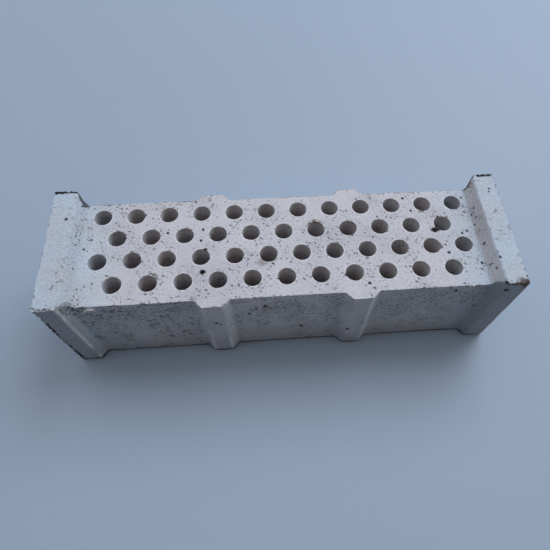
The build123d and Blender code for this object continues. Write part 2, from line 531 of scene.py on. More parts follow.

# Open pits in the faces: pixel, plane, radius, painted shade in the hollow, rust
PITS = (
    ((202.5, 272.0), ON_TOP, 1.25, 1.0, 0.0),
    ((200.8, 240.4), ON_TOP, 0.7, 0.8, 0.0),
    ((203.2, 229.4), ON_TOP, 0.7, 0.8, 0.0),
    ((167.6, 233.0), ON_TOP, 0.7, 0.8, 0.0),
    ((402.3, 198.2), ON_TOP, 0.7, 0.8, 0.0),
    ((410.7, 210.6), ON_TOP, 0.7, 0.8, 0.0),
    ((449.1, 252.1), ON_TOP, 0.75, 0.8, 0.0),
    ((370.1, 282.9), ON_TOP, 0.75, 0.8, 0.0),
    ((120.0, 204.5), ON_TOP, 0.6, 0.7, 0.0),
    ((91.0, 240.0), ON_TOP, 0.65, 0.4, 0.0),
    ((66.0, 219.0), ON_TOP, 0.8, 0.25, 1.0),
    ((484.5, 243.5), ON_TOP, 0.9, 0.6, 0.1),
    ((473.5, 208.0), ON_TOP, 0.6, 0.8, 0.0),
    ((471.5, 214.5), ON_TOP, 0.6, 0.7, 0.0),
    ((475.0, 224.5), ON_TOP, 0.6, 0.6, 0.0),
    ((482.0, 262.5), ON_TOP, 0.7, 0.8, 0.0),
    ((490.5, 264.5), ON_TOP, 0.6, 0.7, 0.0),
    ((500.5, 257.0), ON_TOP, 0.8, 0.5, 0.1),
    ((489.0, 188.5), ON_TOP, 0.6, 0.6, 0.0),
    ((488.5, 191.5), ON_TOP, 0.5, 0.6, 0.0),
    ((467.0, 230.5), ON_TOP, 0.6, 0.8, 0.0),
    ((462.0, 233.0), ON_TOP, 0.6, 0.8, 0.0),
    ((84.0, 209.5), ON_TOP, 0.5, 0.3, 0.0),
    ((86.8, 214.0), ON_TOP, 0.45, 0.25, 0.0),
    ((82.0, 221.0), ON_TOP, 0.4, 0.3, 0.0),
    ((80.0, 224.5), ON_TOP, 0.4, 0.35, 0.0),
    ((78.2, 226.8), ON_TOP, 0.4, 0.5, 0.0),
    ((77.2, 229.7), ON_TOP, 0.45, 0.7, 0.0),
    ((76.6, 232.8), ON_TOP, 0.4, 0.5, 0.0),
    ((76.0, 236.0), ON_TOP, 0.5, 0.6, 0.0),
    ((79.6, 236.0), ON_TOP, 0.4, 0.3, 0.0),
    ((79.0, 239.6), ON_TOP, 0.4, 0.3, 0.0),
    ((75.0, 244.8), ON_TOP, 0.55, 0.5, 0.0),
    ((73.0, 269.0), ON_TOP, 0.6, 0.5, 0.0),
    ((461.0, 197.5), ON_TOP, 0.6, 0.6, 0.0),
    ((497.0, 268.0), ON_TOP, 0.7, 0.6, 0.1),
    ((216.6, 323.5), ON_RIB, 1.1, 1.0, 0.0),
    ((221.2, 325.0), ON_RIB, 0.7, 0.9, 0.0),
    ((347.1, 329.2), ON_RIB, 1.1, 1.0, 0.0),
    ((249.2, 313.8), ON_BODY, 0.9, 0.9, 0.0),
    ((265.1, 306.8), ON_BODY, 1.0, 0.95, 0.0),
    ((256.2, 309.3), ON_BODY, 0.9, 0.9, 0.0),
    ((301.2, 326.1), ON_BODY, 1.1, 1.0, 0.0),
    ((507.0, 290.3), ON_FLANGE, 1.1, 0.95, 0.1),
    ((486.9, 302.1), ON_BODY, 1.0, 0.9, 0.0),
    ((455.9, 290.6), ON_BODY, 1.0, 0.9, 0.0),
    ((66.6, 314.8), ON_FLANGE_SLOPE, 0.6, 0.9, 0.0),
)

# Stains with no hollow: pixel, plane, radius, soot, rust
STAINS = (
    ((314.0, 221.6), ON_TOP, 1.6, 0.25, 1.0),
    ((310.2, 223.2), ON_TOP, 1.1, 0.15, 0.9),
    ((318.4, 222.2), ON_TOP, 1.3, 0.1, 0.9),
    ((322.0, 223.6), ON_TOP, 0.9, 0.05, 0.6),
    ((434.8, 230.0), ON_TOP, 2.0, 0.95, 1.0),
    ((522.5, 282.0), ON_TOP, 2.2, 0.5, 0.9),
    ((527.0, 281.0), ON_TOP, 1.9, 0.6, 1.0),
    ((517.0, 283.2), ON_TOP, 1.3, 0.6, 0.7),
    ((263.0, 262.0), ON_TOP, 3.2, 0.06, 0.5),
    ((301.0, 201.0), ON_TOP, 0.6, 0.1, 1.0),
)

# Patches where the pores are torn open, or pressed shut on the ribs: pixel, plane, radius, amount
OPEN_PATCHES = (
    ((211.0, 265.0), ON_TOP, 5.0, 0.24),
    ((254.0, 256.0), ON_TOP, 4.0, 0.24),
    ((238.0, 271.0), ON_TOP, 4.0, 0.17),
    ((236.0, 229.0), ON_TOP, 3.5, 0.24),
    ((122.5, 209.5), ON_TOP, 4.0, 0.28),
    ((111.5, 260.0), ON_TOP, 3.0, 0.28),
    ((190.0, 213.0), ON_TOP, 4.5, 0.21),
    ((165.0, 275.0), ON_TOP, 4.0, 0.21),
    ((420.0, 215.0), ON_TOP, 6.0, 0.17),
    ((463.0, 215.0), ON_TOP, 5.0, 0.17),
    ((330.0, 236.0), ON_TOP, 6.0, 0.17),
    ((78.0, 228.0), ON_TOP, 4.0, 0.1),
    ((80.0, 216.0), ON_TOP, 4.0, 0.08),
    ((476.0, 215.0), ON_TOP, 7.0, 0.08),
    ((488.0, 252.0), ON_TOP, 8.0, 0.12),
    ((216.0, 299.5), ON_TOP, 8.0, -0.4),
    ((352.0, 291.0), ON_TOP, 8.0, -0.4),
)

# Burrs left standing on the near skyline: pixel, plane, radius, height
BURRS = (
    ((84.6, 310.8), ON_BODY, 0.9, 1.2),
    ((86.4, 309.4), ON_BODY, 0.9, 1.3),
    ((88.4, 308.6), ON_BODY, 1.0, 1.6),
    ((90.6, 308.4), ON_BODY, 1.0, 1.6),
    ((92.6, 308.9), ON_BODY, 0.9, 1.3),
    ((94.2, 310.0), ON_BODY, 0.9, 1.2),
    ((250.6, 298.8), ON_BODY, 0.9, 1.0),
    ((272.8, 297.6), ON_BODY, 0.9, 0.9),
    ((470.0, 286.4), ON_BODY, 0.9, 0.9),
    ((473.5, 286.0), ON_BODY, 1.0, 1.0),
    ((66.5, 317.6), ON_FLANGE_SLOPE, 0.7, 0.5),
    ((68.0, 316.8), ON_FLANGE_SLOPE, 0.7, 0.5),
)

# Burnt strips, and one strip of painted shadow gaps: lowest and highest corner of the box that holds each,
# how full it is, soot and painted shade, rust
BURNT_AND_SHADOW_STRIPS = (
    (
        (-HALF_LENGTH, HALF_WIDTH - 2.0, HEIGHT - 3.0),
        (-LIP_HEAD + 0.5, HALF_WIDTH + 1.0, HEIGHT + 1.0), 1.4, 1.0, 0.4,
    ),
    (
        (LIP_HEAD + 2.5, HALF_WIDTH - 2.0, HEIGHT - 3.0),
        (HALF_LENGTH - 1.0, HALF_WIDTH + 1.0, HEIGHT + 1.0), 1.3, 1.0, 0.4,
    ),
    # Painted shadow gaps along the broken outer arris of the near left flange
    (
        (-HALF_LENGTH - 1.0, -HALF_WIDTH - 1.0, 4.0),
        (-HALF_LENGTH + 2.2, -HALF_WIDTH + 1.3, 50.0), 0.7, 0.95, 0.0,
    ),
    (
        (HALF_LENGTH - 3.0, -HALF_WIDTH - 1.0, HEIGHT - 5.0),
        (HALF_LENGTH + 1.0, -HALF_WIDTH + 1.5, HEIGHT + 1.0), 1.0, 0.6, 1.0,
    ),
)

# Broken outer arris of the near left flange, its gaps darkened with painted shadow: height of each chip up
# it, radius, soot and painted shade
BROKEN_ARRIS = (
    (63.0, 1.8, 0.1), (60.5, 2.4, 0.1), (57.0, 2.8, 0.15), (54.0, 1.8, 0.2), (50.5, 2.6, 0.3),
    (47.0, 1.6, 0.8), (43.5, 2.0, 0.9), (41.0, 1.2, 0.9), (38.0, 1.7, 0.9), (34.5, 1.2, 0.9),
    (30.5, 1.5, 0.9), (27.0, 1.1, 0.9), (21.0, 1.4, 0.9), (14.0, 1.2, 0.9), (8.0, 1.3, 0.9),
)

# Chips: how far a ball sits off its edge, and its roughness, grain and reach, in shares of the radius. Of the
# stain and painted shade here and below, the start and slope of its fading.
CHIP_LIFT = 0.35
CHIP_ROUGHNESS = 0.3
CHIP_GRAIN = 0.45
CHIP_REACH = 1.6
CHIP_STAIN_AND_SHADE = (1.6, 0.8)
CHIP_STAIN_AND_SHADE_REACH = 1.25
CHIP_SEED = 100
LEAST_ARM = 1e-6
SLOPE_END_PAST = 0.5

# Crumbs along the skyline, the ends and the lips: number to an edge, radii, lift off the edge, most soot
CRUMB_SEED = 11
CRUMBS_PER_SIDE = 60
CRUMBS_PER_END = 20
CRUMB_RADII = (0.45, 1.3)
LIP_CRUMB_RADII = (0.5, 1.1)
CRUMB_LIFT = 0.55
END_CRUMB_LIFT = 0.5
LIP_CRUMB_LIFT = 0.6
CRUMB_SOOT = 0.4
LIP_CRUMB_SOOT = 0.35


def placed_crumbs():
    """Crumbs scattered along the skyline of each long side, the top edge of each end and the inner edge of
    each lip, given as the chips are. The skyline's radii are squared, which leaves most of them small."""
    random = np.random.default_rng(CRUMB_SEED)

    def scattered(reach, count, radii, power, most_soot):
        place = random.uniform(-reach, reach, count)
        radius = np.clip(random.uniform(*radii, count) ** power, *radii)
        return place, radius, random.uniform(0.0, most_soot, count)

    runs = []
    for way in (-1, 1):
        x, radius, soot_and_shade = scattered(HALF_LENGTH, CRUMBS_PER_SIDE, CRUMB_RADII, 2, CRUMB_SOOT)
        off = CRUMB_LIFT * radius / math.sqrt(2)
        runs.append((x, way * (side(x) + off), top(x) + off, radius, soot_and_shade))
        y, radius, soot_and_shade = scattered(HALF_WIDTH, CRUMBS_PER_END, CRUMB_RADII, 1, CRUMB_SOOT)
        off = END_CRUMB_LIFT * radius / math.sqrt(2)
        runs.append((way * (HALF_LENGTH + off), y, HEIGHT + off, radius, soot_and_shade))
        y, radius, soot_and_shade = scattered(HALF_WIDTH, CRUMBS_PER_END, LIP_CRUMB_RADII, 1, LIP_CRUMB_SOOT)
        runs.append((way * LIP_HEAD, y, HEIGHT + LIP_CRUMB_LIFT * radius, radius, soot_and_shade))
    return np.concatenate([np.stack(np.broadcast_arrays(*run, 0.0), axis=1) for run in runs])


def placed_chips():
    """Balls that take the chips out: those of the photograph, the hole rims, the slope ends and the flange
    arris, and the crumbs. Each ball sits off its edge by a share of its radius, and is given as a centre, a
    radius, soot and painted shade, and rust."""
    balls = []
    for pixel, plane, way, radius, soot_and_shade, rust in CHIPS:
        out = np.array(way, dtype=float)
        out /= np.linalg.norm(out)
        balls.append((*(mark_place(pixel, plane) + CHIP_LIFT * radius * out), radius, soot_and_shade, rust))
    for row, hole, bearing, radius, soot_and_shade, rust in RIM_CHIPS:
        angle = np.radians(bearing)
        x, y = HOLE_ROWS[row][hole] + HOLE_RADIUS * np.array((np.cos(angle), np.sin(angle)))
        balls.append((x, y, FIELD + CHIP_LIFT * radius, radius, soot_and_shade, rust))
    for along, across, radius, _, soot_and_shade, rust in SLOPE_ENDS:
        off = CHIP_LIFT * radius
        for x in np.linspace(LIP_FOOT, LIP_HEAD + SLOPE_END_PAST, SLOPE_END_CHIPS):
            place = (along * (x - off / 2), across * (side(x) + off), top(x) + off / 2)
            balls.append((*place, radius, soot_and_shade, rust))
    for height, radius, soot_and_shade in BROKEN_ARRIS:
        off = CHIP_LIFT * radius / math.sqrt(2)
        balls.append((-HALF_LENGTH - off, -HALF_WIDTH - off, height, radius, soot_and_shade, 0.0))
    return np.concatenate((balls, placed_crumbs()))


def placed_pits():
    """Pits as a centre, the axis that they open along, radius, painted shade and rust."""
    rows = []
    for pixel, plane, *rest in PITS:
        axis = 2 if plane is ON_TOP else plane[0]
        rows.append((*mark_place(pixel, plane), axis, *rest))
    return np.array(rows)


def placed_burrs():
    """Burrs as a centre, radius and height."""
    return np.array([(*mark_place(pixel, plane), *rest) for pixel, plane, *rest in BURRS])


CHIP_BALLS = placed_chips()
PIT_PLACES = placed_pits()
BURR_PLACES = placed_burrs()

# Thin ridges that the mould left along crests of the near side: line along X, height
RIDGES = ((-FLANGE_HEAD, 0.32), (-RIB_MIDDLE + RIB_CREST, 0.22), (RIB_MIDDLE + RIB_CREST, 0.22))
RIDGE_REACH = 0.45
RIDGE_PATCHES = (0.8, 0.8, 9.0, 33)
RIDGE_LEAST = 0.3

# Longest edges wanted on plain faces and on the walls of the holes, and the finest along each kind of line
PLAIN_EDGE = 5.0
WALL_EDGE = 30.0
ON_WALL = 0.05
FINE_SKYLINE = 0.72
FINE_END = 0.95
FINE_RIM = 0.72
FINE_FOOT = 0.95
FINE_RIDGE = 0.46
FINE_GROWTH = 0.7
FINE_REACH = 4.0

# Finest edges at each kind of spot: share of its radius, and the least
CHIP_EDGE = (0.34, 0.3)
PIT_EDGE = (0.3, 0.0)
BURR_EDGE = (0.34, 0.0)


def wanted_edge(points):
    """Longest edge wanted at each point: short near worn edges, hole rims, ridges, chips, pits and burrs, and
    growing with the distance from them."""
    x, y, z = points.T
    from_side, from_top, from_end = side(x) - np.abs(y), top(x) - z, HALF_LENGTH - np.abs(x)
    from_wall = np.linalg.norm(points[:, :2] - nearest_hole(points), axis=1) - HOLE_RADIUS
    from_ridge = np.min([np.abs(x - line) for line, _ in RIDGES], axis=0)
    lines = (
        (FINE_SKYLINE, from_side, from_top),
        (FINE_END, from_end, np.minimum(from_top, from_side)),
        (FINE_RIM, from_wall, from_top),
        (FINE_FOOT, z, np.minimum(from_side, from_end)),
        (FINE_RIDGE, from_ridge, side(x) + y),
    )
    wanted = np.where(np.abs(from_wall) < ON_WALL, WALL_EDGE, PLAIN_EDGE)
    for finest, first, second in lines:
        wanted = np.minimum(wanted, finest + FINE_GROWTH * np.hypot(first, second))
    spots = ((CHIP_BALLS, 3, CHIP_EDGE), (PIT_PLACES, 4, PIT_EDGE), (BURR_PLACES, 3, BURR_EDGE))
    for rows, radius_column, (share, least) in spots:
        for row in rows:
            centre, radius = row[:3], row[radius_column]
            near = close_by(points, centre, radius + FINE_REACH)
            away = np.maximum(np.linalg.norm(points[near] - centre, axis=1) - radius, 0)
            wanted[near] = np.minimum(wanted[near], max(share * radius, least) + FINE_GROWTH * away)
    return wanted


def worn_corner(first, second, radius):
    """How far a point moves in from two faces that meet, given its gap from each: where both gaps are under
    the radius, the point goes along the line to the arc's centre until it lies on the arc."""
    to_first, to_second = radius - first, radius - second
    reach = np.hypot(to_first, to_second)
    outside = (to_first > 0) & (to_second > 0) & (reach > radius)
    pull = np.where(outside, 1 - radius / np.maximum(reach, radius), 0)
    return pull * to_first, pull * to_second


def wear_radius(points, wear, seed):
    """Radius of a worn edge along its run: the mean, varied by coarse and fine noise."""
    mean, spread = wear
    ripple = sum(gain * noise(points, size, seed + step) for step, (gain, size) in enumerate(WEAR_NOISE))
    return mean * np.maximum(1 + spread * ripple, LEAST_WEAR)


def wear_edges(points):
    """Wears every arris of the brick and the rim of every hole to a rounding of uneven radius."""
    for first, second, wear, seed in ARRISES:
        x, y, z = points.T
        faces = {
            "end": (HALF_LENGTH - np.abs(x), 0, -np.sign(x)),
            "side": (side(x) - np.abs(y), 1, -np.sign(y)),
            "top": (top(x) - z, 2, -1),
            "bed": (z.copy(), 2, 1),
        }
        meeting = (faces[first], faces[second])
        moves = worn_corner(meeting[0][0], meeting[1][0], wear_radius(points, wear, seed))
        for (_, axis, inward), move in zip(meeting, moves):
            points[:, axis] += inward * move
    aim = points[:, :2] - nearest_hole(points)
    away = np.linalg.norm(aim, axis=1)
    radius = wear_radius(points, RIM_WEAR, RIM_SEED)
    out_wall, in_top = worn_corner(away - HOLE_RADIUS, FIELD - points[:, 2], radius)
    points[:, :2] += aim / away[:, None] * out_wall[:, None]
    points[:, 2] -= in_top


def patchy(points, level, gain, size, seed):
    """Patches from 0 to 1: a level plus a gain times noise of that size, held between the two."""
    return np.clip(level + gain * noise(points, size, seed), 0, 1)


def fading(share, start, slope=1.0):
    """Strength from 0 to 1 of a mark at a share of its reach: a start, less a slope times the share."""
    return np.clip(start - slope * share, 0, 1)


def add_stain_and_shade(stains_and_shade, chosen, amounts, share):
    """Marks the chosen points with soot and painted shade, and with rust, the two rows of stains and shade,
    by their amounts times the share, where they aren't darker already."""
    stains_and_shade[:, chosen] = np.maximum(stains_and_shade[:, chosen], np.outer(amounts, share))


def break_chips(points, stains_and_shade):
    """Takes the chips out: a point inside a ball goes straight away from its centre to its surface, whose
    radius is roughened by noise. Points near the break take its soot, painted shade and rust, and none leaves
    the whole brick's outline."""
    for number, ball in enumerate(CHIP_BALLS):
        centre, radius = ball[:3], ball[3]
        near = close_by(points, centre, CHIP_REACH * radius)
        arm = points[near] - centre
        reach = np.linalg.norm(arm, axis=1)
        rough = radius * (1 + CHIP_ROUGHNESS * noise(points[near], CHIP_GRAIN * radius, CHIP_SEED + number))
        inside = reach < rough
        stretch = rough[inside] / np.maximum(reach[inside], LEAST_ARM)
        points[near[inside]] = centre + arm[inside] * stretch[:, None]
        darkened = fading(reach / rough, *CHIP_STAIN_AND_SHADE) * (reach < CHIP_STAIN_AND_SHADE_REACH * rough)
        add_stain_and_shade(stains_and_shade, near, ball[4:], darkened)
    points[:, 0] = np.clip(points[:, 0], -HALF_LENGTH, HALF_LENGTH)
    points[:, 1] = np.clip(points[:, 1], -side(points[:, 0]), side(points[:, 0]))
    points[:, 2] = np.clip(points[:, 2], 0, top(points[:, 0]))


# Pits: depth, reach, wobble of the rim and its grain, in shares of the radius
PIT_DEPTH = 1.3
PIT_REACH = 2.0
PIT_WOBBLE = 0.3
PIT_GRAIN = 0.7
PIT_SHADE_AND_STAIN = (2.6, 2.1)
PIT_SEED = 300


def sink_pits(points, stains_and_shade):
    """Sinks the open pits: within the radius a point goes straight into the face by a bowl's depth, the
    square root of one less the squared share of the radius, and takes the pit's painted shade and rust."""
    for number, pit in enumerate(PIT_PLACES):
        centre, axis, radius = pit[:3], int(pit[3]), pit[4]
        near = close_by(points, centre, PIT_REACH * radius)
        wobble = 1 + PIT_WOBBLE * noise(points[near], PIT_GRAIN * radius, PIT_SEED + number)
        share = np.linalg.norm(points[near] - centre, axis=1) / (radius * wobble)
        depth = PIT_DEPTH * radius * np.sqrt(np.maximum(1 - share ** 2, 0))
        points[near, axis] += depth if axis == 1 else -depth
        add_stain_and_shade(stains_and_shade, near, pit[5:], fading(share, *PIT_SHADE_AND_STAIN))


def raise_ridges(points, surfaces):
    """Raises the thin mould ridges on the near side: a point goes outwards by a parabola across the line,
    patchy along it."""
    share = np.maximum(patchy(points, *RIDGE_PATCHES), RIDGE_LEAST)
    for line, height in RIDGES:
        stand = height * np.maximum(1 - ((points[:, 0] - line) / RIDGE_REACH) ** 2, 0) * share
        points[:, 1] -= np.where(lies_on(surfaces, NEAR), stand, 0)
    points[:, 1] = np.maximum(points[:, 1], -HALF_WIDTH)


# Painted highlight on a burr: start and slope of its fading
BURR_HIGHLIGHT = (1.8, 1.8)


def raise_burrs(points, highlight_and_rub):
    """Raises the burrs on the near skyline: a point goes outwards by a dome, one less the squared share of
    the radius, squared. The burr gets a painted highlight."""
    for burr in BURR_PLACES:
        radius, height = burr[3:]
        share = np.linalg.norm(points - burr[:3], axis=1) / radius
        points[:, 1] -= height * np.maximum(1 - share ** 2, 0) ** 2
        highlight_and_rub[:] = np.maximum(highlight_and_rub, fading(share, *BURR_HIGHLIGHT))


# Stains, the dark facets of painted shade and soot at the slope ends, the burnt strips and the painted shadow
# gaps: how ragged they are, and the grain of it
STAIN_RAGGED = 0.5
STAIN_GRAIN = 0.5
STAIN_FADE = (2.2, 2.2)
STAIN_SEED = 400
FACET_RAGGED = 0.3
FACET_GRAIN = 1.5
FACET_BEFORE = 0.6
FACET_SPARE = 0.8
FACET_DROP = 1.0
FACET_SEED = 600
STRIP_RAGGED = 1.6
STRIP_GRAIN = 3.0
STRIP_SEED = 500
ALL_POINTS = slice(None)


def spread_stains(points, stains_and_shade):
    """Adds the stains: full at the middle, fading over the radius, ragged by noise."""
    for number, (pixel, plane, radius, *amounts) in enumerate(STAINS):
        away = np.linalg.norm(points - mark_place(pixel, plane), axis=1)
        ragged = 1 + STAIN_RAGGED * noise(points, STAIN_GRAIN * radius, STAIN_SEED + number)
        add_stain_and_shade(stains_and_shade, ALL_POINTS, amounts, fading(away / (radius * ragged), *STAIN_FADE))


def darken_slope_ends(points, stains_and_shade):
    """Darkens a lens-shaped facet along the broken end of each slope with painted shade and soot: its width
    over the slope's run is half a sine wave, and its inner edge is ragged by noise."""
    for number, (along, across, _, width, *amounts) in enumerate(SLOPE_ENDS):
        run = (along * points[:, 0] - LIP_FOOT + FACET_BEFORE) / (LIP_HEAD - LIP_FOOT + FACET_SPARE)
        ragged = 1 + FACET_RAGGED * noise(points, FACET_GRAIN, FACET_SEED + number)
        lens = width * np.sin(np.pi * np.clip(run, 0, 1)) * ragged
        gap = side(points[:, 0]) - across * points[:, 1]
        add_stain_and_shade(stains_and_shade, ALL_POINTS, amounts, (gap < lens) & (points[:, 2] > FIELD - FACET_DROP))


def burn_and_shade_strips(points, stains_and_shade):
    """Burns the strips along broken edges, one of them painted shadow gaps: inside a strip's box the mark is
    full, in patches set by noise.
    """
    for number, (low, high, full, *amounts) in enumerate(BURNT_AND_SHADOW_STRIPS):
        inside = ((points > low) & (points < high)).all(axis=1)
        patch = patchy(points, full, STRIP_RAGGED, STRIP_GRAIN, STRIP_SEED + number)
        add_stain_and_shade(stains_and_shade, ALL_POINTS, amounts, patch * inside)


# Unevenness of the fired faces: depth, mean share of it, and the gain, size and seed of each noise
UNEVEN = 0.22
UNEVEN_MEAN = 0.5
UNEVEN_NOISE = ((0.35, 24.0, 21), (0.25, 7.0, 22))


def uneven(points, surfaces):
    """Lets the fired faces sink a little unevenly, by soft noise: the top downwards and the long sides
    inwards."""
    dip = UNEVEN * sum((gain * noise(points, size, seed) for gain, size, seed in UNEVEN_NOISE), UNEVEN_MEAN)
    points[:, 2] -= np.where(lies_on(surfaces, TOP), dip, 0)
    points[:, 1] += np.where(lies_on(surfaces, NEAR), dip, 0) - np.where(lies_on(surfaces, FAR), dip, 0)


# How far the pores are torn open on each kind of face, and the height and run over which the bays close below
BORE_OPENING = -0.12
LIP_OPENING = -0.2
BAY_OPENING = 0.16
LOW_OPENING = -0.12
CREST_OPENING = -0.25
BACK_OPENING = -0.16
LOW_BAY = 30.0
LOW_RUN = 18.0
SLOPE_SHARE = 0.35
PATCH_FADE = (1.5, 1.5)


def pore_opening(points, surfaces):
    """How far the pores are torn open: most high in the bays between the ribs, least on the pressed slopes
    and crests, less on the far side and ends, and more or less in the patches, fading over the radius of
    each."""
    stand = np.clip((side(points[:, 0]) - HALF_BODY) / (RIB_FACE - HALF_BODY) / SLOPE_SHARE, 0, 1)
    low = np.clip((LOW_BAY - points[:, 2]) / LOW_RUN, 0, 1)
    bay = BAY_OPENING + low * (LOW_OPENING - BAY_OPENING)
    lifted = np.clip((points[:, 2] - FIELD) / (HEIGHT - FIELD), 0, 1)
    on_side = lies_on(surfaces, NEAR | FAR)
    opened = np.where(on_side, bay + stand * (CREST_OPENING - bay), LIP_OPENING * lifted)
    for pixel, plane, radius, amount in OPEN_PATCHES:
        away = np.linalg.norm(points - mark_place(pixel, plane), axis=1)
        opened += amount * fading(away / radius, *PATCH_FADE)
    opened += BACK_OPENING * lies_on(surfaces, FAR | ENDS)
    return np.where(surfaces == WALL, BORE_OPENING, opened)


# Painted highlights on the crests and the hole rims, and pale rubbing on the skyline: the crests, how far
# each reaches from its kind of line, how full it starts, and its patches
CREST_LINES = (-FLANGE_HEAD, -RIB_MIDDLE - RIB_CREST, -RIB_MIDDLE + RIB_CREST, RIB_MIDDLE + RIB_CREST)
CREST_HIGHLIGHT = 0.85
CREST_START = 1.3
CREST_PATCHES = (0.7, 0.9, 12.0, 31)
RIM_HIGHLIGHT = 0.5
RIM_START = 1.1
RIM_PATCHES = (0.75, 1.0, 4.0, 34)
SKYLINE_RUB = 0.7
SKYLINE_START = 1.0
SKYLINE_PATCHES = (0.2, 1.0, 6.0, 35)

# Painted light on two slopes of the near side: head and foot along X, and how pale; and how pale they stay at
# the foot
LIT_SLOPES = (
    (-FLANGE_HEAD, -FLANGE_FOOT, 0.25),
    (-RIB_MIDDLE + RIB_CREST, -RIB_MIDDLE + RIB_BASE, 0.4),
)
LIT_SLOPES_AT_FOOT = 0.3


def highlights_and_rubbing(points, surfaces):
    """Painted highlights along the crests of the ribs and flanges and the rims of the holes, and pale rubbing
    along the skyline of the long sides, strongest on the line and patchy along it, and painted light on two
    slopes of the near side."""
    x, y, z = points.T
    away = np.min([np.abs(x - line) for line in CREST_LINES], axis=0)
    crest = fading(away / CREST_HIGHLIGHT, CREST_START) * patchy(points, *CREST_PATCHES)
    gap = np.linalg.norm(points[:, :2] - nearest_hole(points), axis=1) - HOLE_RADIUS
    rim = fading(gap / RIM_HIGHLIGHT, RIM_START) * patchy(points, *RIM_PATCHES)
    skyline = fading(np.hypot(side(x) - np.abs(y), top(x) - z) / SKYLINE_RUB, SKYLINE_START)
    skyline *= patchy(points, *SKYLINE_PATCHES)
    lit_slopes = np.zeros(len(points))
    for head, foot, share in LIT_SLOPES:
        run = np.clip((x - head) / (foot - head), 0, 1)
        lit_slopes += share * np.sqrt(np.sin(np.pi * run))
    lit_slopes *= np.clip(LIT_SLOPES_AT_FOOT + z / FIELD, 0, 1)
    crest *= lies_on(surfaces, NEAR | FAR)
    rim *= lies_on(surfaces, TOP)
    lit_slopes *= lies_on(surfaces, NEAR)
    return np.max((crest, rim, skyline, lit_slopes), axis=0)


# Darker grey on the flanges' faces, the outer bays and towards the foot, with where and over what run each
# rises
LEFT_GREYING = 1.3
RIGHT_GREYING = 1.6
RIGHT_GREYING_RUN = 18.0
BAY_GREYING = 0.36
BAY_GREYING_FROM = 28.0
BAY_GREYING_RUN = 24.0
LOW_GREYING = 1.3
LOW_GREYING_TOP = 28.0


def greyed_flanks(points, surfaces):
    """Darker grey on the outer faces of the flanges, rising over the flange's slope, and on the right from
    further in, fainter in the outer bays, and on the lower part of the long sides and ends, rising towards
    the foot."""
    x, _, z = points.T
    slope = FLANGE_HEAD - FLANGE_FOOT
    left = LEFT_GREYING * np.clip((-x - FLANGE_FOOT) / slope, 0, 1)
    right = RIGHT_GREYING * np.clip((x - FLANGE_FOOT + RIGHT_GREYING_RUN) / (slope + RIGHT_GREYING_RUN), 0, 1)
    bays = BAY_GREYING * np.clip((np.abs(x) - BAY_GREYING_FROM) / BAY_GREYING_RUN, 0, 1)
    low = LOW_GREYING * np.clip(1 - z / LOW_GREYING_TOP, 0, 1) * lies_on(surfaces, NEAR | FAR | ENDS)
    return np.maximum(low, np.max((left, right, bays), axis=0) * lies_on(surfaces, NEAR | FAR))


# Painted bluish light on the ends: where it starts and over what run, and how much of it the right slope
# loses
COOL_FROM = 78.0
COOL_RUN = 24.0
WARM_SLOPE = 0.9


def painted_cool_light(points, surfaces):
    """Painted bluish light, rising towards both ends of the brick, but not on the slope up to the right lip.
    """
    cool_light = np.clip((np.abs(points[:, 0]) - COOL_FROM) / COOL_RUN, 0, 1)
    run = np.clip((points[:, 0] - LIP_FOOT) / (LIP_HEAD - LIP_FOOT), 0, 1)
    slope = np.sqrt(np.sin(np.pi * run)) * lies_on(surfaces, TOP)
    return cool_light * (1 - WARM_SLOPE * slope)


# What the skin carries at each point for its finish
MARKS = ("soot_and_shade", "rust", "bore", "opened", "highlight_and_rub", "greyed", "flank", "cool_light")
REFINING_PASSES = 7
# Depth below the mouth over which the painted shade down the holes grows to full
BORE_SHADE_DEPTH = 14.0
END_FLANK = 0.6


def worn_skin():
    """The finished surface: the coarse skin refined, set on the true surfaces, worn, chipped, ridged, pitted,
    stained and darkened with painted shade. Returns its points, its triangles and the marks at each point by
    name."""
    points, surfaces, triangles = coarse_skin()
    for _ in range(REFINING_PASSES):
        points, surfaces, triangles, split = split_long_edges(points, surfaces, triangles, wanted_edge)
        if not split:
            break
    set_on_surfaces(points, surfaces)
    # Painted shade down the walls of the holes, growing with the depth below the mouth
    bore = np.clip((FIELD - points[:, 2]) / BORE_SHADE_DEPTH, 0, 1) * lies_on(surfaces, WALL)
    opened = pore_opening(points, surfaces)
    highlight_and_rub = highlights_and_rubbing(points, surfaces)
    greyed = greyed_flanks(points, surfaces)
    flank = np.where(lies_on(surfaces, NEAR | FAR), 1.0, END_FLANK * lies_on(surfaces, ENDS))
    cool_light = painted_cool_light(points, surfaces)
    stains_and_shade = np.zeros((2, len(points)))
    uneven(points, surfaces)
    wear_edges(points)
    break_chips(points, stains_and_shade)
    raise_ridges(points, surfaces)
    raise_burrs(points, highlight_and_rub)
    sink_pits(points, stains_and_shade)
    spread_stains(points, stains_and_shade)
    burn_and_shade_strips(points, stains_and_shade)
    darken_slope_ends(points, stains_and_shade)
    marks = dict(zip(MARKS, (*stains_and_shade, bore, opened, highlight_and_rub, greyed, flank, cool_light)))
    return points, triangles, marks


# Colours of the fired body, its painted cool light, painted highlights and darker grey, the painted shade of
# its pores and holes, its rust, soot and painted shade, and the floor
CERAMIC_PALE = (0.69, 0.688, 0.685, 1.0)
# Colour of the body under the painted bluish light
CERAMIC_IN_COOL_LIGHT = (0.535, 0.64, 0.70, 1.0)
CERAMIC_GREY = (0.57, 0.57, 0.57, 1.0)
CERAMIC_SAND = (0.36, 0.365, 0.375, 1.0)
# Pale colour of the painted highlights and of the rubbing on the skyline
CERAMIC_HIGHLIGHT_AND_RUB = (0.92, 0.92, 0.92, 1.0)
CERAMIC_GREYED = (0.33, 0.35, 0.37, 1.0)
